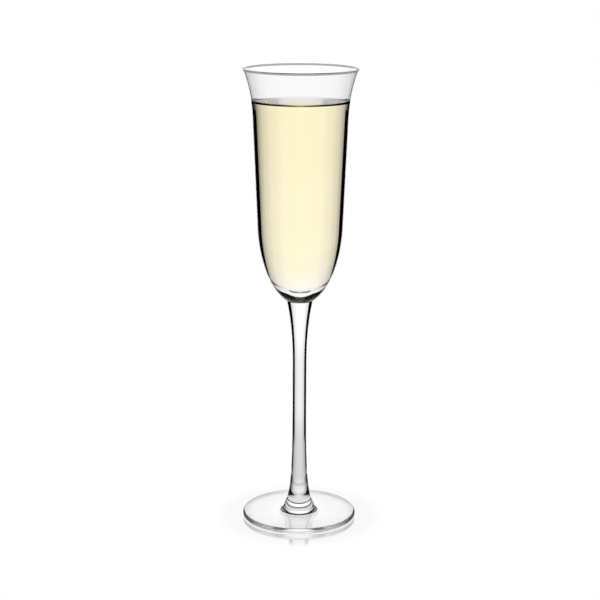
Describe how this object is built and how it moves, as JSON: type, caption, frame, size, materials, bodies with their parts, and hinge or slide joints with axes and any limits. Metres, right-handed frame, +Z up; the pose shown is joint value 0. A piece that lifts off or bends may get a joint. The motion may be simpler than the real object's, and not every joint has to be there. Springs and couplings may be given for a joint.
{
  "type": "champagne flute",
  "caption": "Tall stemmed glass with an egg-ended tapered cup, a flared lip, a slender drawn stem and a flat round foot, holding pale wine.",
  "frame": {"origin": "centre of the resting face of the foot", "axes": "+Z up along the axis of the stem, from the foot to the rim; the glass is the same all round, so +X and +Y are free"},
  "size_m": [0.0628, 0.0628, 0.2497],
  "materials": {
    "clear_glass": "polished",
    "pale_wine": "polished"
  },
  "bodies": {
    "root": {"bowl": "clear_glass", "stem": "clear_glass", "foot": "clear_glass", "wine": "pale_wine"}
  },
  "joints": []
}
